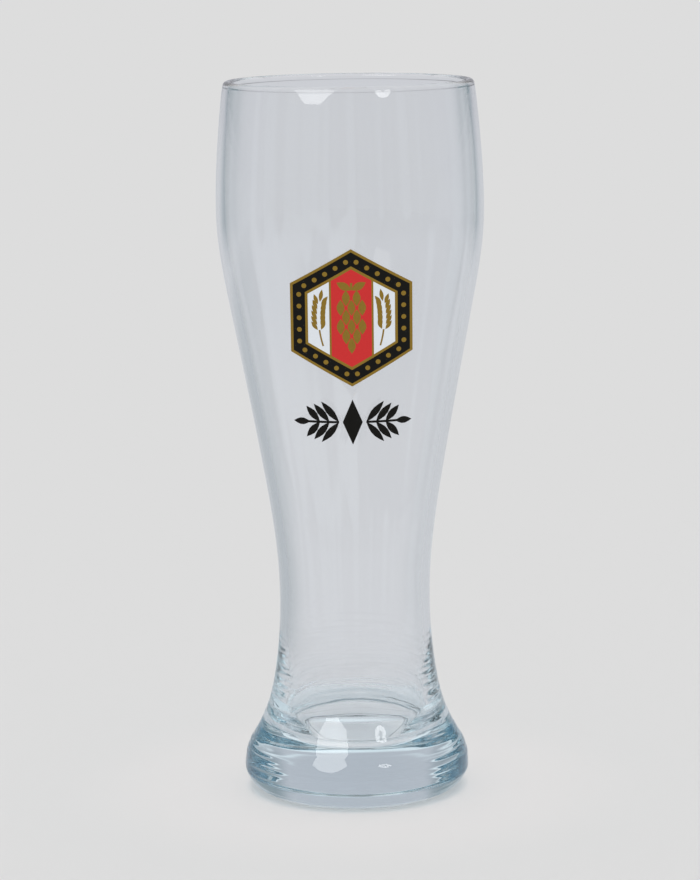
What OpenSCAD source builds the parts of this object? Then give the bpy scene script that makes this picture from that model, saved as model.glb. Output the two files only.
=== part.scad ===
// Tall waisted wheat beer glass: one blown and pressed piece of clear glass with a thick foot,
// and a fired-on print of four inks on the front. Front is -Y, up is +Z, the foot stands on Z = 0.

/* [Glass] */
// Height from the table to the top of the lip
glass_h = 225; // [200:1:250]
// Outer diameter at the lip, where its rounding starts
rim_d = 78; // [70:0.5:82]
// Height of the stretch under the lip's rounding that leans in more than the bowl
lip_lean_h = 4; // [2:0.1:6]
// Outer diameter at the widest ring of the bowl
belly_d = 83.6; // [78:0.2:92]
// Height of the widest ring
belly_h = 184.8; // [170:0.2:192]
// Outer diameter at the waist
waist_d = 47.6; // [42:0.2:54]
// Height of the waist
waist_h = 62.4; // [52:0.2:72]

/* [Foot] */
// Outer diameter of the foot at its widest ring
foot_d = 71.4; // [62:0.2:80]
// Height of the foot's widest ring above the table
foot_ring_h = 6.8; // [5:0.1:9]
// Outer diameter of the flat ring that the glass stands on
bearing_d = 59; // [52:0.2:61]
// Width of that flat ring
bearing_w = 1.6; // [1:0.1:3]
// Height of the hollow under the foot at its centre
push_up_h = 2.4; // [1:0.1:4]

/* [Cavity] */
// Thickness of the wall at the lip, which is rounded by half of it
lip_wall = 2.4; // [2:0.1:3.2]
// Thickness of the wall at the widest ring
belly_wall = 2.6; // [2:0.1:3.4]
// Thickness of the wall at the waist
waist_wall = 2.7; // [2.2:0.1:4]
// Diameter of the cavity at its heel, the wide ring below the waist
heel_d = 45.2; // [43:0.2:46]
// Height of the heel above the table
heel_h = 27.8; // [25:0.2:32]
// Height of the inner floor's edge above the table
floor_h = 14.6; // [12:0.1:16]
// Diameter of the inner floor
floor_d = 35; // [32:0.2:37]
// Height of the sloping corner between the inner floor and the inner wall
floor_corner_h = 4.3; // [3:0.1:6]
// Width of that corner
floor_corner_w = 4; // [3:0.1:4.5]
// Bulge of that corner outward from a straight cone
floor_corner_bulge = 0.6; // [0.2:0.1:1.2]
// Depth of the inner floor's middle below its edge
floor_dish = 1; // [0.4:0.1:1.4]
// Diameter of the mark that the plunger's tip leaves in the inner floor
dimple_d = 17.8; // [12:0.2:24]
// Further depth of that mark
dimple_depth = 0.3; // [0.1:0.1:0.6]

/* [Print] */
// Thickness of an ink layer
ink_t = 0.1; // [0.08:0.01:0.2]
// Clearance between an ink layer and the glass under it
ink_gap = 0.08; // [0.05:0.01:0.1]
// Width of the hexagonal label from flat side to flat side
label_w = 37; // [30:0.5:42]
// Height of the label's centre above the table
label_h = 155.3; // [148:0.1:160]
// Width of the leaf garland under the label
garland_w = 36; // [28:0.5:40]
// Clear space between the label's lowest corner and the top of the garland
garland_gap = 4.138; // [3:0.001:6]

/* [Hidden] */

// Facets of a full turn
$fn = 180;

// Steps that one span between two stations of the outline is divided into
span_steps = 10;
// Steps of a rounded corner
corner_steps = 8;
// Steps of each side of a leaf shape
leaf_steps = 5;

// Outline of the outside

// A station is [height, radius, slope], where slope is the change of radius with height.
// The spans from foot to waist and from waist to belly each have two more stations, placed
// at a share of the span's height and radius, with a share of its mean slope.
flare_share = [0.17, 0.805, 2.95];
ankle_share = [0.47, 0.227, 0.95];
stem_share = [0.36, 0.284, 1.2];
bowl_share = [0.732, 0.756, 1.29];
// Slopes below and above the leaning stretch, as shares of the mean slope from belly to lip
lip_slope_share = 1.5;
lip_lean_share = 2.7;

foot_r = foot_d / 2;
bearing_r = bearing_d / 2;
waist_r = waist_d / 2;
belly_r = belly_d / 2;
rim_r = rim_d / 2;
lip_r = lip_wall / 2;

// Station between the rings a and b of the outline, each [height, radius]
function between(a, b, share) = [
    a[0] + (b[0] - a[0]) * share[0],
    a[1] + (b[1] - a[1]) * share[1],
    (b[1] - a[1]) / (b[0] - a[0]) * share[2]
];

foot_ring = [foot_ring_h, foot_r, 0];
waist_ring = [waist_h, waist_r, 0];
belly_ring = [belly_h, belly_r, 0];
lip_base_h = glass_h - lip_r;
lip_mean_slope = (rim_r - belly_r) / (lip_base_h - belly_h);
lip_slope = lip_mean_slope * lip_lean_share;
rim_ring = [lip_base_h, rim_r, lip_slope];
lean_ring = [lip_base_h - lip_lean_h,
             rim_r - lip_lean_h * lip_mean_slope * (lip_slope_share + lip_lean_share) / 2,
             lip_mean_slope * lip_slope_share];

stations = [
    foot_ring,
    between(waist_ring, foot_ring, [1 - flare_share[0], flare_share[1], flare_share[2]]),
    between(waist_ring, foot_ring, [1 - ankle_share[0], ankle_share[1], ankle_share[2]]),
    waist_ring,
    between(waist_ring, belly_ring, stem_share),
    between(waist_ring, belly_ring, bowl_share),
    belly_ring,
    lean_ring,
    rim_ring
];

// Radius of a smooth cubic span from station a to station b at the share t of its height
function span_radius(a, b, t) =
    let (h = b[0] - a[0])
    (2 * t ^ 3 - 3 * t ^ 2 + 1) * a[1] + (t ^ 3 - 2 * t ^ 2 + t) * h * a[2]
    + (3 * t ^ 2 - 2 * t ^ 3) * b[1] + (t ^ 3 - t ^ 2) * h * b[2];

// Points [radius, height] of a span, without its end at station b
function span_points(a, b) = [for (k = [0 : span_steps - 1])
    let (t = k / span_steps)
    [span_radius(a, b, t), a[0] + (b[0] - a[0]) * t]];

// Points of the outside, from the foot's widest ring to the lip
outer_points = concat(
    [for (i = [0 : len(stations) - 2]) each span_points(stations[i], stations[i + 1])],
    [[rim_r, lip_base_h]]
);

// Exponent of the rounding under the foot: 1 is an ellipse, more is closer to a bevel
foot_round_power = 1.25;
foot_rounding = [for (k = [0 : corner_steps])
    let (a = 90 * k / corner_steps)
    [bearing_r + (foot_r - bearing_r) * sin(a) ^ foot_round_power,
     foot_ring_h - foot_ring_h * cos(a) ^ foot_round_power]];

// Hollow under the foot: a shallow dome inside the bearing ring
dome_r = bearing_r - bearing_w;
push_up = [for (k = [0 : corner_steps])
    let (s = k / corner_steps)
    [dome_r * s, push_up_h * (1 - s ^ 2)]];

// Outline of the cavity

// Wall thickness, measured level, at a height above the waist
function wall_at(z) =
    z < belly_h
        ? waist_wall + (belly_wall - waist_wall) * (z - waist_h) / (belly_h - waist_h)
        : belly_wall + (lip_wall - belly_wall) * (z - belly_h) / (lip_base_h - belly_h);

upper_cavity = [for (p = outer_points) if (p[1] > waist_h) [p[0] - wall_at(p[1]), p[1]]];

// Below the waist the cavity widens with the outside, down to its heel, and then closes in
// to a crease, a bulging corner, a second crease and the dished floor
cavity_waist = [waist_h, waist_r - waist_wall, 0];
heel_r = heel_d / 2;
floor_r = floor_d / 2;
corner_top_h = floor_h + floor_corner_h;
corner_top_r = floor_r + floor_corner_w;
// Station between the waist and the heel, placed as the outside's stations are
cavity_ankle_share = [0.53, 0.52, 0.25];
// Slope at the heel as a share of the mean slope from there to the waist
heel_slope_share = 3.1;
// Slope at the crease as a share of the mean slope from there to the heel
crease_slope_share = 1.7;
heel_ring = [heel_h, heel_r, (cavity_waist[1] - heel_r) / (waist_h - heel_h) * heel_slope_share];
crease_ring = [corner_top_h, corner_top_r,
               (heel_r - corner_top_r) / (heel_h - corner_top_h) * crease_slope_share];

cavity_ankle = between(cavity_waist, heel_ring, cavity_ankle_share);
lower_cavity = concat(
    span_points(crease_ring, heel_ring),
    span_points(heel_ring, cavity_ankle),
    span_points(cavity_ankle, cavity_waist),
    [[cavity_waist[1], waist_h]]
);

corner_slant = norm([floor_corner_w, floor_corner_h]);
floor_corner = [for (k = [0 : corner_steps - 1])
    let (t = k / corner_steps, out = floor_corner_bulge * sin(180 * t) / corner_slant)
    [floor_r + floor_corner_w * t + floor_corner_h * out,
     floor_h + floor_corner_h * t - floor_corner_w * out]];

// Height of the inner floor at a radius
dimple_r = dimple_d / 2;
function floor_at(r) =
    floor_h - floor_dish * (1 - (r / floor_r) ^ 2) - dimple_depth * max(0, 1 - (r / dimple_r) ^ 2);

floor_steps = 4;
inner_floor = concat(
    [for (k = [0 : floor_steps - 1]) let (r = dimple_r * k / floor_steps) [r, floor_at(r)]],
    [for (k = [0 : floor_steps - 1])
        let (r = dimple_r + (floor_r - dimple_r) * k / floor_steps) [r, floor_at(r)]]
);

// The lip's half circle, sheared so that it goes on from the leaning wall
lip = [for (k = [1 : corner_steps - 1])
    let (a = 180 * k / corner_steps, rise = lip_r * sin(a))
    [rim_r - lip_r + lip_r * cos(a) + lip_slope * rise, lip_base_h + rise]];

module glass_body() {
    color([0.78, 0.86, 0.88, 0.35])
    rotate_extrude()
    polygon(concat(
        push_up,
        foot_rounding,
        [for (p = outer_points) if (p[1] > foot_ring_h) p],
        lip,
        [for (k = [len(upper_cavity) - 1 : -1 : 0]) upper_cavity[k]],
        [for (k = [len(lower_cavity) - 1 : -1 : 0]) lower_cavity[k]],
        [for (k = [len(floor_corner) - 1 : -1 : 0]) floor_corner[k]],
        [for (k = [len(inner_floor) - 1 : -1 : 0]) inner_floor[k]]
    ));
}

// Print

// Reach of the flat drawing of an ink along the line of sight, past the widest ring
ink_reach = belly_r + belly_wall;

// Lays a flat drawing on the front of the glass as an ink layer between two heights
module on_front(low, high) {
    step = (belly_h - waist_h) / span_steps;
    band = [for (p = outer_points) if (p[1] > low - step && p[1] < high + step) p];
    intersection() {
        rotate([90, 0, 0])
        linear_extrude(ink_reach)
        children();
        rotate_extrude()
        polygon(concat(
            [for (p = band) [p[0] + ink_gap, p[1]]],
            [for (k = [len(band) - 1 : -1 : 0]) [band[k][0] + ink_gap + ink_t, band[k][1]]]
        ));
    }
}

// Hexagon with a corner at the top, by its width from flat side to flat side
module hexagon(width) {
    rotate(90)
    circle(d = width / cos(30), $fn = 6);
}

// Leaf with two pointed ends, from the origin along +Y
module leaf(length, width) {
    polygon(concat(
        [for (k = [0 : leaf_steps]) [width / 2 * sin(180 * k / leaf_steps), length * k / leaf_steps]],
        [for (k = [leaf_steps - 1 : -1 : 1]) [-width / 2 * sin(180 * k / leaf_steps), length * k / leaf_steps]]
    ));
}

module lozenge(width, height) {
    polygon([[width / 2, 0], [0, height / 2], [-width / 2, 0], [0, -height / 2]]);
}

module mirrored() {
    children();
    mirror([1, 0])
    children();
}

// Label: widths and places of its parts as shares of its own width
label_line_w = 0.022 * label_w;
label_band_w = 0.1 * label_w;
field_w = label_w - 2 * (2 * label_line_w + label_band_w);
label_half_h = label_w / 2 / cos(30);

// Middle stripe of the field, and the line on each side of it
stripe_w = 0.33 * label_w;
stripe_line_w = 0.016 * label_w;

bead_d = 0.04 * label_w;
beads_per_side = 5;

// An ear's stem is an arc about a point on the far side of the label
ear_r = 0.8 * label_w;
ear_centre_x = (stripe_w + 2 * stripe_line_w + field_w) / 4 - ear_r;
grain_l = 0.09 * label_w;
grain_w = 0.034 * label_w;
grain_splay = 29;
grain_pairs = 6;
ear_low_angle = -7;
ear_high_angle = 11.5;
ear_stem_angle = -17;
ear_stem_w = 0.014 * label_w;

bract_l = 0.135 * label_w;
bract_w = 0.066 * label_w;
bract_pitch_x = 0.088 * label_w;
bract_pitch_y = 0.08 * label_w;
bract_counts = [2, 3, 2, 3, 2, 1];
hop_stalk_w = 0.02 * label_w;
hop_stalk_h = 0.06 * label_w;
hop_leaf_splay = 62;

module label_lines() {
    difference() {
        hexagon(label_w);
        hexagon(label_w - 2 * label_line_w);
    }
    difference() {
        hexagon(field_w + 2 * label_line_w);
        hexagon(field_w);
    }
    mirrored()
    stripe_line();
}

// Line beside the middle stripe, cut off by the edge of the field
module stripe_line() {
    intersection() {
        hexagon(field_w);
        translate([stripe_w / 2, -label_half_h])
        square([stripe_line_w, 2 * label_half_h]);
    }
}

// Beads in a row along each of the six sides of the dark band
module label_beads() {
    band_middle = (label_w - 2 * label_line_w - label_band_w) / 2;
    side = 2 * band_middle * tan(30);
    for (turn = [0 : 60 : 300], k = [0 : beads_per_side - 1])
        rotate(turn)
        translate([band_middle, side * ((k + 0.5) / beads_per_side - 0.5)])
        circle(d = bead_d, $fn = 24);
}

// Ear of barley: pairs of grains, a last grain and a stem
module barley_ear() {
    step = (ear_high_angle - ear_low_angle) / grain_pairs;
    translate([ear_centre_x, 0]) {
        for (k = [0 : grain_pairs - 1], side = [-1, 1])
            rotate(ear_low_angle + step * k)
            translate([ear_r + side * grain_w * 0.4, 0])
            rotate(-side * grain_splay)
            leaf(grain_l, grain_w);
        rotate(ear_high_angle - step / 2)
        translate([ear_r, 0])
        leaf(grain_l * 1.2, grain_w);
        stem_arc(ear_stem_angle, ear_low_angle, ear_r, ear_stem_w);
    }
}

// Thin band along an arc from one angle to another
module stem_arc(low, high, r, width) {
    polygon(concat(
        [for (k = [0 : leaf_steps])
            let (a = low + (high - low) * k / leaf_steps) (r + width / 2) * [cos(a), sin(a)]],
        [for (k = [leaf_steps : -1 : 0])
            let (a = low + (high - low) * k / leaf_steps) (r - width / 2) * [cos(a), sin(a)]]
    ));
}

// Hop cone: rows of hanging bracts under a short stalk with two leaves
module hop_cone() {
    rows = len(bract_counts);
    bracts_h = (rows - 1) * bract_pitch_y + bract_l;
    top = (bracts_h - hop_stalk_h) / 2;
    for (row = [0 : rows - 1], k = [0 : bract_counts[row] - 1])
        translate([(k - (bract_counts[row] - 1) / 2) * bract_pitch_x, top - row * bract_pitch_y])
        rotate(180)
        leaf(bract_l, bract_w);
    translate([-hop_stalk_w / 2, top])
    square([hop_stalk_w, hop_stalk_h]);
    for (side = [-1, 1])
        translate([0, top])
        rotate(side * hop_leaf_splay)
        leaf(bract_l, bract_w);
}

module label_black_ink() {
    color([0.1, 0.09, 0.08])
    on_front(label_h - label_half_h, label_h + label_half_h)
    translate([0, label_h])
    difference() {
        hexagon(label_w - 2 * label_line_w);
        hexagon(field_w + 2 * label_line_w);
        label_beads();
    }
}

module label_gold_ink() {
    color([0.55, 0.43, 0.15])
    on_front(label_h - label_half_h, label_h + label_half_h)
    translate([0, label_h]) {
        label_lines();
        label_beads();
        hop_cone();
        mirrored()
        barley_ear();
    }
}

module label_red_ink() {
    color([0.8, 0.16, 0.16])
    on_front(label_h - label_half_h, label_h + label_half_h)
    translate([0, label_h])
    difference() {
        intersection() {
            hexagon(field_w);
            square([stripe_w, 2 * label_half_h], center = true);
        }
        hop_cone();
    }
}

module label_white_ink() {
    color([0.9, 0.92, 0.94])
    on_front(label_h - label_half_h, label_h + label_half_h)
    translate([0, label_h])
    difference() {
        hexagon(field_w);
        square([stripe_w + 2 * stripe_line_w, 2 * label_half_h], center = true);
        mirrored()
        barley_ear();
    }
}

// Garland: a lozenge between two leafy twigs, in shares of its own width
garland_lozenge_w = 0.17 * garland_w;
garland_lozenge_h = 0.4 * garland_w;
garland_leaf_l = 0.235 * garland_w;
garland_leaf_w = 0.062 * garland_w;
garland_leaf_angle = 50;
garland_pairs = 3;
garland_twig_w = 0.02 * garland_w;
garland_twig_start = garland_lozenge_w / 2 + 0.03 * garland_w;
garland_twig_end = garland_w / 2 - 0.14 * garland_w;
garland_h = label_h - label_half_h - garland_gap - garland_lozenge_h / 2;

module twig() {
    step = (garland_twig_end - garland_twig_start) / garland_pairs;
    translate([garland_twig_start, -garland_twig_w / 2])
    square([garland_twig_end - garland_twig_start + garland_twig_w, garland_twig_w]);
    for (k = [0 : garland_pairs - 1], side = [-1, 1])
        translate([garland_twig_start + step * k, 0])
        rotate(-90 + side * garland_leaf_angle)
        leaf(garland_leaf_l * (1 - 0.12 * k), garland_leaf_w);
    translate([garland_twig_end, 0])
    rotate(-90)
    leaf(garland_w / 2 - garland_twig_end, garland_leaf_w);
}

module garland_black_ink() {
    color([0.1, 0.09, 0.08])
    on_front(garland_h - garland_lozenge_h / 2, garland_h + garland_lozenge_h / 2)
    translate([0, garland_h]) {
        lozenge(garland_lozenge_w, garland_lozenge_h);
        mirrored()
        twig();
    }
}

glass_body();
label_black_ink();
label_gold_ink();
label_red_ink();
label_white_ink();
garland_black_ink();
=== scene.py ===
import math

import bmesh
import bpy
from mathutils import Euler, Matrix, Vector, noise


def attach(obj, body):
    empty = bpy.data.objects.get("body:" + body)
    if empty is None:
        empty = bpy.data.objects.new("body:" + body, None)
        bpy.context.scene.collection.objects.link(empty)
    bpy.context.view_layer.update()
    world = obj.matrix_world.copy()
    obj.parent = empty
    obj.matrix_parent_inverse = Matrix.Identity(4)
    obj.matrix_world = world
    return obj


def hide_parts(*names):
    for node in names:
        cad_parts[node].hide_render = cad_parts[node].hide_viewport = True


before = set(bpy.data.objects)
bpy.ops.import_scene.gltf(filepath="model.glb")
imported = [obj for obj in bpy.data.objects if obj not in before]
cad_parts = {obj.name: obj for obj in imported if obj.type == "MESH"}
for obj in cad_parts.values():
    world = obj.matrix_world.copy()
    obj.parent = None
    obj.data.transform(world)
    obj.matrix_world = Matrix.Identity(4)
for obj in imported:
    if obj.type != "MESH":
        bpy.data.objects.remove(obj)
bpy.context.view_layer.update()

MM = 0.001

# Outline of the glass, in millimetres, as the part's source has it
GLASS_H = 225.0
RIM_R = 39.0
LIP_LEAN_H = 4.0
BELLY_R = 41.8
BELLY_H = 184.8
WAIST_R = 23.8
WAIST_H = 62.4
FOOT_R = 35.7
FOOT_RING_H = 6.8
BEARING_R = 29.5
BEARING_W = 1.6
PUSH_UP_H = 2.4
LIP_WALL = 2.4
BELLY_WALL = 2.6
WAIST_WALL = 2.7
HEEL_R = 22.6
HEEL_H = 27.8
FLOOR_H = 14.6
FLOOR_R = 17.5
FLOOR_CORNER_H = 4.3
FLOOR_CORNER_W = 4.0
FLOOR_CORNER_BULGE = 0.6
FLOOR_DISH = 1.0
DIMPLE_R = 8.9
DIMPLE_DEPTH = 0.3

# Places of stations between two rings, as shares of the height, the radius and the mean slope
FLARE_SHARE = (0.17, 0.805, 2.95)
ANKLE_SHARE = (0.47, 0.227, 0.95)
STEM_SHARE = (0.36, 0.284, 1.2)
BOWL_SHARE = (0.732, 0.756, 1.29)
CAVITY_ANKLE_SHARE = (0.53, 0.52, 0.25)
# Slopes at other stations, as shares of the mean slope there
LIP_SLOPE_SHARE = 1.5
LIP_LEAN_SHARE = 2.7
HEEL_SLOPE_SHARE = 3.1
CREASE_SLOPE_SHARE = 1.7
# Power of the curve round the foot's lower edge, which is a quarter of an ellipse at 1
FOOT_ROUND_POWER = 1.25

LIP_R = LIP_WALL / 2
LIP_BASE_H = GLASS_H - LIP_R
CREASE_R = FLOOR_R + FLOOR_CORNER_W
CREASE_H = FLOOR_H + FLOOR_CORNER_H

# Fineness of the revolved mesh
TURN_STEPS = 220
SPAN_STEPS = 12
CORNER_STEPS = 10
# Height between the points of the outside up to the waist, fine enough for its ripples
RIPPLE_STEP = 0.28

# Bead along each fold of the cavity
BEAD_W = 0.5
BEAD_H = 0.05
BEAD_STEPS = 4

# Waves in the walls: how far they stand out, and how often they turn sideways and upward
RIPPLE_H = 0.12
RIPPLE_PACE = (0.045, 0.8)
BROAD_WAVE_H = 0.04
BROAD_WAVE_PACE = (0.05, 0.2)
BROAD_WAVE_START = 40
UPRIGHT_WAVE_H = 0.05
UPRIGHT_WAVE_PACE = (0.12, 0.012)
UPRIGHT_WAVE_START = 20
# The foot's waves end at this height and fade below it, and the cavity's set in above its heel
FOOT_WAVES_H = 64
FOOT_WAVES_FADE = 30
CAVITY_WAVES_FADE = 20
# The front of the foot is calmer than its sides: sines of the turn where the calm starts and
# where it is full, height above which it grows, and its least and largest share
CALM_FRONT = (0.5, 0.75)
CALM_H = 19
CALM_FADE = 5
CALM_SHARES = (0.75, 0.97)
BROAD_WAVE_CALM = 0.7


# Nodes

WHITE = (1, 1, 1, 1)


def node_tree(owner):
    """An owner's emptied node tree"""
    owner.use_nodes = True
    tree = owner.node_tree
    tree.nodes.clear()
    return tree


def add(tree, kind, inputs=None, **settings):
    """A new node, with its settings and with values or links for its inputs"""
    node = tree.nodes.new(kind)
    for name, value in settings.items():
        setattr(node, name, value)
    for key, value in (inputs or {}).items():
        if isinstance(value, bpy.types.NodeSocket):
            tree.links.new(value, node.inputs[key])
        else:
            node.inputs[key].default_value = value
    return node


def math_node(tree, operation, *values):
    """Result of an operation on values or links"""
    return add(tree, "ShaderNodeMath", dict(enumerate(values)), operation=operation).outputs[0]


def product(tree, first, second):
    """First times second"""
    return math_node(tree, "MULTIPLY", first, second)


def step(tree, value, ends):
    """0 at the first of two ends and 1 at the second, with a smooth step between"""
    inputs = {"Value": value, "From Min": ends[0], "From Max": ends[1]}
    return add(tree, "ShaderNodeMapRange", inputs, interpolation_type="SMOOTHSTEP").outputs["Result"]


def mix_colour(tree, share, first, second):
    """The first colour, with a share of the second; inputs 6 and 7 are the node's colours"""
    node = add(tree, "ShaderNodeMix", {"Factor": share, 6: first, 7: second}, data_type="RGBA")
    return node.outputs[2]


def lights_matt(tree, path):
    """1 for a ray from a matt surface, for which the surroundings are an even white"""
    return math_node(tree, "GREATER_THAN", path.outputs["Diffuse Depth"], 0.5)


# Outline

def between(a, b, share):
    """Station between the rings a and b, each (height, radius, slope)"""
    return (a[0] + (b[0] - a[0]) * share[0],
            a[1] + (b[1] - a[1]) * share[1],
            (b[1] - a[1]) / (b[0] - a[0]) * share[2])


def flipped(share):
    """A station's shares of the height, counted from the other ring"""
    return (1 - share[0], share[1], share[2])


FOOT_RING = (FOOT_RING_H, FOOT_R, 0.0)
WAIST_RING = (WAIST_H, WAIST_R, 0.0)
BELLY_RING = (BELLY_H, BELLY_R, 0.0)
LIP_MEAN_SLOPE = (RIM_R - BELLY_R) / (LIP_BASE_H - BELLY_H)
LIP_SLOPE = LIP_MEAN_SLOPE * LIP_LEAN_SHARE
LEAN_RING = (LIP_BASE_H - LIP_LEAN_H,
             RIM_R - LIP_LEAN_H * LIP_MEAN_SLOPE * (LIP_SLOPE_SHARE + LIP_LEAN_SHARE) / 2,
             LIP_MEAN_SLOPE * LIP_SLOPE_SHARE)
STATIONS = [
    FOOT_RING,
    between(WAIST_RING, FOOT_RING, flipped(FLARE_SHARE)),
    between(WAIST_RING, FOOT_RING, flipped(ANKLE_SHARE)),
    WAIST_RING,
    between(WAIST_RING, BELLY_RING, STEM_SHARE),
    between(WAIST_RING, BELLY_RING, BOWL_SHARE),
    BELLY_RING,
    LEAN_RING,
    (LIP_BASE_H, RIM_R, LIP_SLOPE),
]


def span_radius(a, b, t):
    """Radius of a smooth cubic span from station a to station b at the share t of its height"""
    h = b[0] - a[0]
    return ((2 * t ** 3 - 3 * t ** 2 + 1) * a[1] + (t ** 3 - 2 * t ** 2 + t) * h * a[2]
            + (3 * t ** 2 - 2 * t ** 3) * b[1] + (t ** 3 - t ** 2) * h * b[2])


def span_points(a, b, steps):
    """Points (radius, height) of the span from station a up to station b, without its last"""
    return [(span_radius(a, b, k / steps), a[0] + (b[0] - a[0]) * k / steps) for k in range(steps)]


def wall_at(z):
    """Thickness of the wall at a height above the waist"""
    if z < BELLY_H:
        return WAIST_WALL + (BELLY_WALL - WAIST_WALL) * (z - WAIST_H) / (BELLY_H - WAIST_H)
    return BELLY_WALL + (LIP_WALL - BELLY_WALL) * (z - BELLY_H) / (LIP_BASE_H - BELLY_H)


def lip():
    """Points of the lip's rounding, sheared to go on from the leaning wall, from outside to inside"""
    points = []
    for k in range(2 * CORNER_STEPS + 1):
        a = math.pi * k / (2 * CORNER_STEPS)
        rise = LIP_R * math.sin(a)
        points.append((RIM_R - LIP_R + LIP_R * math.cos(a) + LIP_SLOPE * rise, LIP_BASE_H + rise))
    return points


def floor_at(r):
    """Height of the dished inner floor at a radius"""
    mark = max(0.0, 1 - (r / DIMPLE_R) ** 2)
    return FLOOR_H - FLOOR_DISH * (1 - (r / FLOOR_R) ** 2) - DIMPLE_DEPTH * mark


def fold_places():
    """Points of the cavity's folds: the plunger's mark, the floor's edge and the crease"""
    return [(DIMPLE_R, floor_at(DIMPLE_R)), (FLOOR_R, FLOOR_H), (CREASE_R, CREASE_H)]


def bead(before, fold, after):
    """Points of the small bead that the plunger's edge leaves along a fold of the cavity"""
    sides = []
    for r, z in (before, after):
        length = math.hypot(r - fold[0], z - fold[1])
        sides.append(((r - fold[0]) / length, (z - fold[1]) / length))
    (ur, uz), (vr, vz) = sides
    length = math.hypot(vz - uz, ur - vr)
    nr, nz = (uz - vz) / length, (vr - ur) / length
    points = []
    for k in range(-BEAD_STEPS, BEAD_STEPS + 1):
        share = abs(k) / BEAD_STEPS
        side = sides[0] if k <= 0 else sides[1]
        rise = BEAD_H * math.cos(math.pi * share / 2) ** 2
        points.append((fold[0] + side[0] * BEAD_W / 2 * share + nr * rise,
                       fold[1] + side[1] * BEAD_W / 2 * share + nz * rise))
    return points


def with_beads(points, folds):
    """The cavity's points with a bead in place of each fold"""
    beaded = []
    for i, point in enumerate(points):
        if point in folds:
            beaded += bead(points[i - 1], point, points[i + 1])
        else:
            beaded.append(point)
    return beaded


def lower_cavity():
    """Points from the middle of the inner floor up to the waist"""
    radii = [DIMPLE_R * k / CORNER_STEPS for k in range(CORNER_STEPS)]
    radii += [DIMPLE_R + (FLOOR_R - DIMPLE_R) * k / CORNER_STEPS for k in range(CORNER_STEPS)]
    points = [(r, floor_at(r)) for r in radii]
    slant = math.hypot(FLOOR_CORNER_W, FLOOR_CORNER_H)
    for k in range(CORNER_STEPS):
        t = k / CORNER_STEPS
        out = FLOOR_CORNER_BULGE * math.sin(math.pi * t) / slant
        points.append((FLOOR_R + FLOOR_CORNER_W * t + FLOOR_CORNER_H * out,
                       FLOOR_H + FLOOR_CORNER_H * t - FLOOR_CORNER_W * out))
    crease = (CREASE_H, CREASE_R, (HEEL_R - CREASE_R) / (HEEL_H - CREASE_H) * CREASE_SLOPE_SHARE)
    waist = (WAIST_H, WAIST_R - WAIST_WALL, 0.0)
    heel = (HEEL_H, HEEL_R, (waist[1] - HEEL_R) / (WAIST_H - HEEL_H) * HEEL_SLOPE_SHARE)
    ankle = between(waist, heel, CAVITY_ANKLE_SHARE)
    for low, high in ((crease, heel), (heel, ankle), (ankle, waist)):
        points += span_points(low, high, SPAN_STEPS)
    points.append((waist[1], waist[0]))
    return with_beads(points, fold_places())


def outline():
    """Points round the glass, from the middle of its underside to that of its inner floor"""
    shares = [k / CORNER_STEPS for k in range(CORNER_STEPS + 1)]
    dome_r = BEARING_R - BEARING_W
    points = [(dome_r * s, PUSH_UP_H * (1 - s * s)) for s in shares]
    for s in shares:
        a = math.radians(90 * s)
        points.append((BEARING_R + (FOOT_R - BEARING_R) * math.sin(a) ** FOOT_ROUND_POWER,
                       FOOT_RING_H * (1 - abs(math.cos(a)) ** FOOT_ROUND_POWER)))
    outside = []
    for a, b in zip(STATIONS, STATIONS[1:]):
        steps = round((b[0] - a[0]) / RIPPLE_STEP) if b[0] <= WAIST_H else SPAN_STEPS
        outside += span_points(a, b, steps)
    points += outside[1:]
    points += lip()
    points += [(r - wall_at(z), z) for r, z in reversed(outside) if z > WAIST_H]
    points += reversed(lower_cavity())
    return points


# Glass

GLASS_IOR = 1.52
# Colour that light takes on in the depth of the glass, and how fast
GLASS_COLOUR = (0.18, 0.57, 0.71, 1)
GLASS_DENSITY = 4.0
# Above this height the glass has no tint and another index, because light is led round the lip
CLEAR_LIP_H = 223.0
CLEAR_LIP_IOR = 1.42
# Share of the light that the two larger folds let through: painted shade that draws them as thin dark
# lines
FOLD_SHADE_TINT = 0.5
# Places of the lip's and the folds' materials among those of the glass
LIP_SLOT = 1
FOLD_SLOT = 2


def clamped(value, low=0.0, high=1.0):
    """The value, kept between low and high"""
    return min(max(value, low), high)


def waves(x, y, z, pace, start=0):
    """Noise from -1 to 1 at a point, with its pace sideways and upward"""
    return noise.noise(Vector((x * pace[0], y * pace[0], z * pace[1] + start)))


def swell(r, a, z, outer):
    """Slight unevenness of the pressed and blown walls: how far a point stands out"""
    x, y = r * math.cos(a), r * math.sin(a)
    if not outer:
        high = clamped((z - HEEL_H) / CAVITY_WAVES_FADE)
        return high * UPRIGHT_WAVE_H * waves(x, y, z, UPRIGHT_WAVE_PACE)
    foot = clamped((FOOT_WAVES_H - z) / FOOT_WAVES_FADE) * min(z / FOOT_RING_H, 1.0)
    front = clamped((-math.sin(a) - CALM_FRONT[0]) / (CALM_FRONT[1] - CALM_FRONT[0]))
    calm = front * clamped((z - CALM_H) / CALM_FADE, *CALM_SHARES)
    fine = RIPPLE_H * (1 - calm) * waves(x, y, z, RIPPLE_PACE)
    broad = BROAD_WAVE_H * (1 - BROAD_WAVE_CALM * calm)
    broad *= waves(x, y, z, BROAD_WAVE_PACE, BROAD_WAVE_START)
    upright = UPRIGHT_WAVE_H * waves(x, y, z, UPRIGHT_WAVE_PACE, UPRIGHT_WAVE_START)
    return foot * (fine + broad) + (1 - foot) * upright


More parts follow.
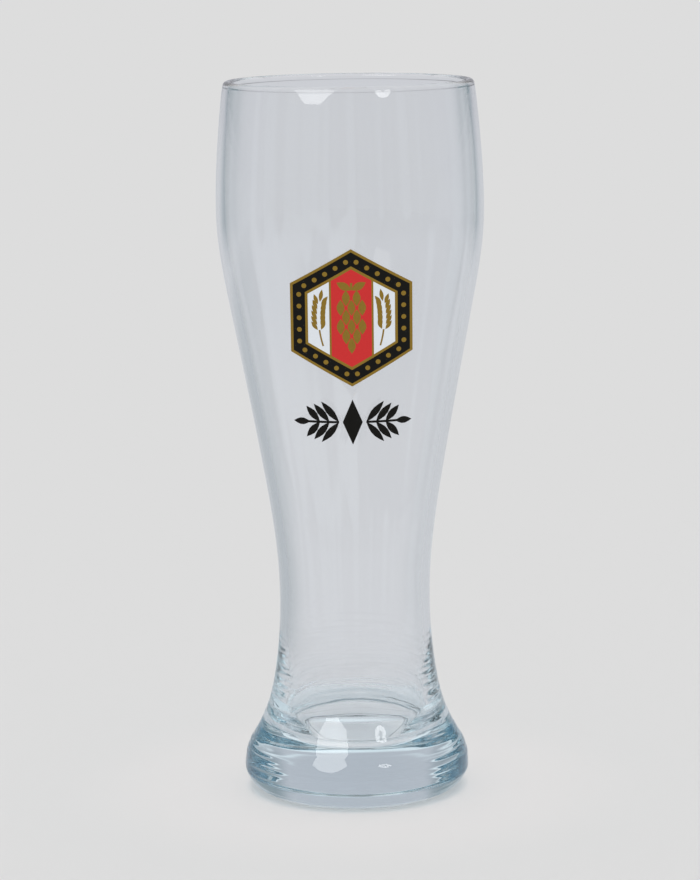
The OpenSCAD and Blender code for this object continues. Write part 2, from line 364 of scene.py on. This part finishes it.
def revolved(name, points, uneven):
    """Closed mesh of revolution of points (radius, height) that start and end on the axis"""
    mesh = bmesh.new()
    rings = []
    crest = max(range(len(points)), key=lambda i: points[i][1])
    for i, (r, z) in enumerate(points[1:-1], 1):
        ring = []
        for k in range(TURN_STEPS):
            a = 2 * math.pi * k / TURN_STEPS
            wide = r + uneven(r, a, z, i < crest)
            ring.append(mesh.verts.new((wide * math.cos(a) * MM, wide * math.sin(a) * MM, z * MM)))
        rings.append(ring)
    first = mesh.verts.new((0, 0, points[0][1] * MM))
    last = mesh.verts.new((0, 0, points[-1][1] * MM))
    for k in range(TURN_STEPS):
        n = (k + 1) % TURN_STEPS
        mesh.faces.new((first, rings[0][n], rings[0][k]))
        mesh.faces.new((last, rings[-1][k], rings[-1][n]))
        for low, high in zip(rings, rings[1:]):
            mesh.faces.new((low[k], low[n], high[n], high[k]))
    bmesh.ops.recalc_face_normals(mesh, faces=mesh.faces)
    data = bpy.data.meshes.new(name)
    mesh.to_mesh(data)
    mesh.free()
    data.shade_smooth()
    piece = bpy.data.objects.new(name, data)
    bpy.context.scene.collection.objects.link(piece)
    return piece


def glass_material(name, absorption, ior=GLASS_IOR, tint=1.0):
    """Clear glass that takes out more red than blue over its depth, and is darkened as painted shade
    where its tint is below 1
    """
    material = bpy.data.materials.new(name)
    tree = node_tree(material)
    shader = add(tree, "ShaderNodeBsdfPrincipled", {
        "Base Color": (tint, tint, tint, 1), "Roughness": 0.0, "IOR": ior, "Transmission Weight": 1.0})
    volume = add(tree, "ShaderNodeVolumeAbsorption", {"Color": absorption, "Density": GLASS_DENSITY})
    add(tree, "ShaderNodeOutputMaterial", {
        "Surface": shader.outputs[0], "Volume": volume.outputs[0]})
    return material


def make_glass():
    """The glass body, with a lip without tint and with painted dark lines on its two larger folds"""
    piece = revolved("glass", outline(), swell)
    piece.data.materials.append(glass_material("clear_glass", GLASS_COLOUR))
    piece.data.materials.append(glass_material("clear_lip", WHITE, ior=CLEAR_LIP_IOR))
    # A darker copy of the glass: painted shade for the two larger folds
    piece.data.materials.append(glass_material("fold_painted_shade", GLASS_COLOUR, tint=FOLD_SHADE_TINT))
    shaded_folds = fold_places()[1:]
    for face in piece.data.polygons:
        place = (math.hypot(face.center.x, face.center.y) / MM, face.center.z / MM)
        if place[1] > CLEAR_LIP_H:
            face.material_index = LIP_SLOT
        elif any(math.dist(place, fold) < BEAD_W / 2 for fold in shaded_folds):
            face.material_index = FOLD_SLOT
    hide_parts("glass_body")
    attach(piece, "root")


# Print

BLACK_INK = (0.006, 0.0055, 0.004)
GOLD_INK = (0.25, 0.155, 0.02)
RED_INK = (0.6, 0.03, 0.03)
WHITE_INK = (0.74, 0.78, 0.82)
INK_ROUGHNESS = 0.35
INK_SHEEN = 0.12
# Grain of the fired ink: how often it turns per metre, its detail, its tone and its bumps
INK_GRAIN_PACE = 1800.0
INK_GRAIN_DETAIL = 3.0
INK_GRAIN_TONE = 0.9
INK_BUMP_SHARE = 0.15
INK_BUMP_H = 0.02 * MM


def ink_material(name, colour):
    """Fired ink with a fine grain in its tone and its surface"""
    material = bpy.data.materials.new(name)
    tree = node_tree(material)
    place = add(tree, "ShaderNodeTexCoord").outputs["Object"]
    grain = add(tree, "ShaderNodeTexNoise", {
        "Vector": place, "Scale": INK_GRAIN_PACE, "Detail": INK_GRAIN_DETAIL}).outputs["Fac"]
    darker = tuple(c * INK_GRAIN_TONE for c in colour) + (1,)
    tone = mix_colour(tree, grain, darker, colour + (1,))
    bump = add(tree, "ShaderNodeBump", {
        "Height": grain, "Strength": INK_BUMP_SHARE, "Distance": INK_BUMP_H}).outputs[0]
    shader = add(tree, "ShaderNodeBsdfPrincipled", {
        "Base Color": tone, "Roughness": INK_ROUGHNESS, "Specular IOR Level": INK_SHEEN, "Normal": bump})
    add(tree, "ShaderNodeOutputMaterial", {"Surface": shader.outputs[0]})
    return material


def make_print():
    """The five ink layers from the part's source, each in its ink"""
    black = ink_material("black_ink", BLACK_INK)
    inks = {
        "label_black_ink": black,
        "garland_black_ink": black,
        "label_gold_ink": ink_material("gold_ink", GOLD_INK),
        "label_red_ink": ink_material("red_ink", RED_INK),
        "label_white_ink": ink_material("white_ink", WHITE_INK),
    }
    for node, material in inks.items():
        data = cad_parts[node].data
        data.materials.clear()
        data.materials.append(material)


# Stage

# Directions are azimuths from the front, positive to the right, and elevations, in degrees

# What the camera sees of the floor and the backdrop: an even white, painted light round the foot that
# lifts the glass's real shade, and a painted shadow where the foot touches the floor
CAMERA_WHITE = (0.723, 0.723, 0.723, 1)
PAINTED_LIFT_TONE = (0.765, 0.75, 0.748, 1)
TOUCH_SHADOW_TONE = (0.62, 0.61, 0.61, 1)
# What the glass gathers from round about
FRONT_TONE = (0.50, 0.50, 0.50, 1)
BACK_TONE = (0.54, 0.545, 0.59, 1)
BACK_GLOW_TONE = (0.84, 0.9, 0.94, 1)
CEILING_TONE = (0.2, 0.2, 0.2, 1)
FLOOR_TONE = (0.615, 0.63, 0.665, 1)
NEAR_TONE = (0.645, 0.657, 0.687, 1)
# Painted light on the floor under the foot, as if lit through the glass
UNDER_FOOT_LIGHT_TONE = (0.83, 0.8, 0.81, 1)
STRIP_TONE = (0.22, 0.28, 0.31, 1)
PATCH_DARK = (0.02, 0.02, 0.02, 1)
PATCH_LIGHT = (1.02, 1.13, 1.17, 1)
# Painted shade: what matt surfaces get from the floor where the foot touches it, so that less light
# reaches the floor by the foot
CONTACT_SHADE_TONE = (0.2, 0.2, 0.2, 1)

FLOOR_SIZE = 60.0
FLOOR_DROP = 0.1 * MM

# Azimuth of the middles of the two dark strips, one on either side
STRIP_AZIMUTH = 131

# Below, each pair says where a tone is still absent and where it is full

# Angles from the middle of a dark strip, and its elevations
STRIP_ANGLES = (24, 9)
NEAR_STRIP_ANGLES = (42, 20)
STRIP_ELEVATIONS = (30, 16)
# Directions to the surroundings, by the Y of a unit vector
WORLD_FRONT = (0.2, -0.6)
# Directions to the surroundings, by the Z of a unit vector
BACK_GLOW_START = (0.38, 0.52)
BACK_GLOW_END = (0.85, 0.72)
CEILING = (0.9, 0.96)
# Places on the floor, by their distance from the axis
BACK_FLOOR = (2.0, 9.0)
NEAR_FLOOR = (1.2, 0.6)
FAR_STRIP = (0.5, 1.6)
NEAR_STRIP_START = (0.08, 0.22)
NEAR_STRIP_END = (1.0, 0.5)
# Painted light on the floor under the foot
UNDER_LIGHT_START = (12 * MM, 23 * MM)
UNDER_LIGHT_END = (32 * MM, 30 * MM)
# Painted light round the foot, and a painted shadow where it touches the floor, as the camera sees them
PAINTED_LIFT_REACH = (100 * MM, 42 * MM)
TOUCH_SHADOW_REACH = (36 * MM, 31 * MM)
# Painted shade for matt surfaces on the floor round the foot's ring
CONTACT_INNER = (26 * MM, 28 * MM)
CONTACT_OUTER = (37 * MM, 35 * MM)
# Places on the floor, by their Y
FRONT_FLOOR = (0.3, -1.0)
# How far the painted shadow, a dark line on the floor round the foot, is set to the back
TOUCH_SHADOW_BACK = 1.5 * MM
# Strength of the strips on the floor: far off, and near the glass at its right and its left
FAR_STRIP_SHARE = 0.6
NEAR_STRIP_SHARES = (0.12, 0.4)
NEAR_STRIP_SIDES = (0.03, -0.03)

# Patches of light and dark, which give the streaks in the foot: how often they turn, and the
# values of the noise between which dark turns to light
PATCH_PACE = 3.2
PATCH_EDGE = (0.5, 0.59)
# Light that reaches the camera by way of the foot bounces more often than light through the
# bowl, and light that goes round the whole lip more often still
FOOT_BOUNCES = (5, 9.5)
LIP_BOUNCES = (45, 35)

# The lamps face the glass at this height, and glow less for light that crosses more surfaces
LAMP_AIM_H = 0.1
OUTER_CROSSINGS = 1.5


def strip_frame(tree, vector):
    """How squarely a vector's level direction faces the dark strips, its level length and its axes"""
    axes = add(tree, "ShaderNodeSeparateXYZ", {0: vector})
    x = math_node(tree, "ABSOLUTE", axes.outputs["X"])
    y = axes.outputs["Y"]
    square = math_node(tree, "ADD", product(tree, x, x), product(tree, y, y))
    level = math_node(tree, "SQRT", square)
    a = math.radians(STRIP_AZIMUTH)
    along = math_node(tree, "ADD", product(tree, x, math.sin(a)), product(tree, y, -math.cos(a)))
    return math_node(tree, "DIVIDE", along, level), level, axes


def strip_mask(tree, facing, angles):
    """0 and 1 at two angles, in degrees, from the middle of a dark strip"""
    return step(tree, facing, [math.cos(math.radians(a)) for a in angles])


def with_patches(tree, path, vector, tone):
    """The tone, but patches of light and dark for light that has been led round inside the glass"""
    pattern = add(tree, "ShaderNodeTexNoise", {"Vector": vector, "Scale": PATCH_PACE, "Detail": 1.0})
    share = step(tree, pattern.outputs["Fac"], PATCH_EDGE)
    patches = mix_colour(tree, share, PATCH_DARK, PATCH_LIGHT)
    depth = path.outputs["Ray Depth"]
    led_round = product(tree, step(tree, depth, FOOT_BOUNCES), step(tree, depth, LIP_BOUNCES))
    return mix_colour(tree, led_round, tone, patches)


def gathered_floor(tree, path, place, facing, level, axes):
    """Tone of the floor that the glass gathers: pale, with the lower ends of the dark strips and painted
    light under the foot
    """
    far = product(tree, strip_mask(tree, facing, STRIP_ANGLES), step(tree, level, FAR_STRIP))
    near = product(tree, step(tree, level, NEAR_STRIP_START), step(tree, level, NEAR_STRIP_END))
    near = product(tree, strip_mask(tree, facing, NEAR_STRIP_ANGLES), near)
    side = add(tree, "ShaderNodeMapRange", {
        "Value": axes.outputs["X"], "From Min": NEAR_STRIP_SIDES[0], "From Max": NEAR_STRIP_SIDES[1],
        "To Min": NEAR_STRIP_SHARES[0], "To Max": NEAR_STRIP_SHARES[1]}).outputs["Result"]
    dark = math_node(tree, "MAXIMUM", product(tree, near, side), product(tree, far, FAR_STRIP_SHARE))
    pale = mix_colour(tree, step(tree, level, BACK_FLOOR), FLOOR_TONE, BACK_TONE)
    pale = mix_colour(tree, step(tree, axes.outputs["Y"], FRONT_FLOOR), pale, FRONT_TONE)
    pale = mix_colour(tree, step(tree, level, NEAR_FLOOR), pale, NEAR_TONE)
    under = product(tree, step(tree, level, UNDER_LIGHT_START), step(tree, level, UNDER_LIGHT_END))
    pale = mix_colour(tree, under, pale, UNDER_FOOT_LIGHT_TONE)
    way = add(tree, "ShaderNodeVectorMath", {0: place}, operation="NORMALIZE").outputs[0]
    return with_patches(tree, path, way, mix_colour(tree, dark, pale, STRIP_TONE))


def open_floor(tree, place, level):
    """Tone of the floor that the camera sees: plain, with painted light round the foot that lifts the
    glass's real shade, and a painted shadow where the foot touches
    """
    tone = mix_colour(tree, step(tree, level, PAINTED_LIFT_REACH), CAMERA_WHITE, PAINTED_LIFT_TONE)
    reach = add(tree, "ShaderNodeVectorMath", {0: place, 1: (0, TOUCH_SHADOW_BACK, 0)}, operation="DISTANCE")
    return mix_colour(tree, step(tree, reach.outputs["Value"], TOUCH_SHADOW_REACH), tone, TOUCH_SHADOW_TONE)


def floor_material():
    """Floor with one tone for the camera, others for the glass and white for matt surfaces, but painted
    shade for these where the foot touches
    """
    material = bpy.data.materials.new("pale_floor")
    tree = node_tree(material)
    path = add(tree, "ShaderNodeLightPath")
    place = add(tree, "ShaderNodeNewGeometry").outputs["Position"]
    facing, level, axes = strip_frame(tree, place)
    gathered = gathered_floor(tree, path, place, facing, level, axes)
    seen = mix_colour(tree, path.outputs["Is Camera Ray"], gathered, open_floor(tree, place, level))
    contact = product(tree, step(tree, level, CONTACT_INNER), step(tree, level, CONTACT_OUTER))
    bounced = mix_colour(tree, contact, WHITE, CONTACT_SHADE_TONE)
    tone = mix_colour(tree, lights_matt(tree, path), seen, bounced)
    shader = add(tree, "ShaderNodeBsdfDiffuse", {"Color": tone})
    add(tree, "ShaderNodeOutputMaterial", {"Surface": shader.outputs[0]})
    return material


def make_floor():
    """A wide plain floor just under the glass"""
    mesh = bpy.data.meshes.new("floor")
    h = FLOOR_SIZE / 2
    corners = [(x, y, -FLOOR_DROP) for x, y in ((-h, -h), (h, -h), (h, h), (-h, h))]
    mesh.from_pydata(corners, [], [(0, 1, 2, 3)])
    floor = bpy.data.objects.new("floor", mesh)
    bpy.context.scene.collection.objects.link(floor)
    mesh.materials.append(floor_material())


def make_world():
    """Even light for matt surfaces, and a studio of pale screens with two dark gaps for the glass"""
    world = bpy.data.worlds.new("studio")
    bpy.context.scene.world = world
    world.cycles.sampling_method = "NONE"
    tree = node_tree(world)
    path = add(tree, "ShaderNodeLightPath")
    direction = add(tree, "ShaderNodeTexCoord").outputs["Generated"]
    facing, _, axes = strip_frame(tree, direction)
    height = axes.outputs["Z"]
    glow = product(tree, step(tree, height, BACK_GLOW_START), step(tree, height, BACK_GLOW_END))
    back = mix_colour(tree, glow, BACK_TONE, BACK_GLOW_TONE)
    pale = mix_colour(tree, step(tree, axes.outputs["Y"], WORLD_FRONT), back, FRONT_TONE)
    pale = mix_colour(tree, step(tree, height, CEILING), pale, CEILING_TONE)
    low = step(tree, height, [math.sin(math.radians(a)) for a in STRIP_ELEVATIONS])
    strip = product(tree, strip_mask(tree, facing, STRIP_ANGLES), low)
    studio = with_patches(tree, path, direction, mix_colour(tree, strip, pale, STRIP_TONE))
    seen = mix_colour(tree, path.outputs["Is Camera Ray"], studio, CAMERA_WHITE)
    shown = mix_colour(tree, lights_matt(tree, path), seen, WHITE)
    background = add(tree, "ShaderNodeBackground", {"Color": shown, "Strength": 1.0})
    add(tree, "ShaderNodeOutputWorld", {"Surface": background.outputs[0]})


def polygon(radius, count):
    """Corners of a regular polygon with a level lower side"""
    turns = [2 * math.pi * (k + 0.5) / count for k in range(count)]
    return [(radius * math.sin(a), -radius * math.cos(a)) for a in turns]


def lamp_material(name, strength, through):
    """Glow of a lamp: its strength in the outer surface, and less through the glass"""
    material = bpy.data.materials.new(name)
    tree = node_tree(material)
    path = add(tree, "ShaderNodeLightPath")
    behind = math_node(tree, "GREATER_THAN", path.outputs["Transmission Depth"], OUTER_CROSSINGS)
    shown = add(tree, "ShaderNodeMapRange", {"Value": behind, "To Min": strength, "To Max": through})
    level = add(tree, "ShaderNodeMapRange", {
        "Value": lights_matt(tree, path), "To Min": shown.outputs["Result"], "To Max": 1.0})
    glow = add(tree, "ShaderNodeEmission", {"Color": WHITE, "Strength": level.outputs["Result"]})
    add(tree, "ShaderNodeOutputMaterial", {"Surface": glow.outputs[0]})
    return material


def make_lamp(name, azimuth, elevation, distance, outer, inner, strength, through):
    """A flat glowing screen between two polygons, which shows only in the glass's reflections"""
    mesh = bpy.data.meshes.new(name)
    count = len(outer)
    faces = [(k, (k + 1) % count, (k + 1) % count + count, k + count) for k in range(count)]
    mesh.from_pydata([(x, y, 0) for x, y in outer + inner], [], faces)
    lamp = bpy.data.objects.new(name, mesh)
    bpy.context.scene.collection.objects.link(lamp)
    a, e = math.radians(azimuth), math.radians(elevation)
    away = Vector((math.sin(a) * math.cos(e), -math.cos(a) * math.cos(e), math.sin(e)))
    lamp.location = away * distance + Vector((0, 0, LAMP_AIM_H))
    lamp.rotation_euler = away.to_track_quat("Z", "Y").to_euler()
    mesh.materials.append(lamp_material(name + "_glow", strength, through))
    lamp.visible_camera = False
    lamp.visible_diffuse = False
    lamp.visible_shadow = False


def make_lamps():
    """An eight-sided screen at the left and a ring lamp at the right, seen from the front"""
    make_lamp("left_softbox", azimuth=-32, elevation=32, distance=0.967,
              outer=polygon(0.32, 8), inner=polygon(0.001, 8), strength=4.5, through=0.9)
    make_lamp("right_softbox", azimuth=31, elevation=26, distance=0.87,
              outer=polygon(0.1, 24), inner=polygon(0.035, 24), strength=6.0, through=1.2)


# Camera

CAMERA_DISTANCE = 1.0076
CAMERA_HEIGHT = 0.2813
CAMERA_PITCH = 9.554
CAMERA_ROLL = 0.736
CAMERA_ASIDE = -0.92 * MM
CAMERA_LENS = 132.43
CAMERA_SENSOR = 36.0
CAMERA_REACH = 200.0


def make_camera():
    """The photo's camera"""
    data = bpy.data.cameras.new("camera")
    data.sensor_width = CAMERA_SENSOR
    data.lens = CAMERA_LENS
    data.clip_end = CAMERA_REACH
    camera = bpy.data.objects.new("camera", data)
    bpy.context.scene.collection.objects.link(camera)
    camera.location = (CAMERA_ASIDE, -CAMERA_DISTANCE, CAMERA_HEIGHT)
    tilt = Euler((math.radians(90 - CAMERA_PITCH), 0, 0)).to_matrix()
    roll = Euler((0, 0, math.radians(-CAMERA_ROLL))).to_matrix()
    camera.rotation_euler = (tilt @ roll).to_euler()
    bpy.context.scene.camera = camera


# Bounces of light, enough to go round the foot and the lip
BOUNCES = 200

bpy.context.scene.view_settings.view_transform = "Standard"
bpy.context.scene.cycles.max_bounces = BOUNCES
bpy.context.scene.cycles.transmission_bounces = BOUNCES
bpy.context.scene.cycles.glossy_bounces = BOUNCES
bpy.context.scene.cycles.blur_glossy = 0.0
make_camera()
make_floor()
make_world()
make_lamps()
make_glass()
make_print()
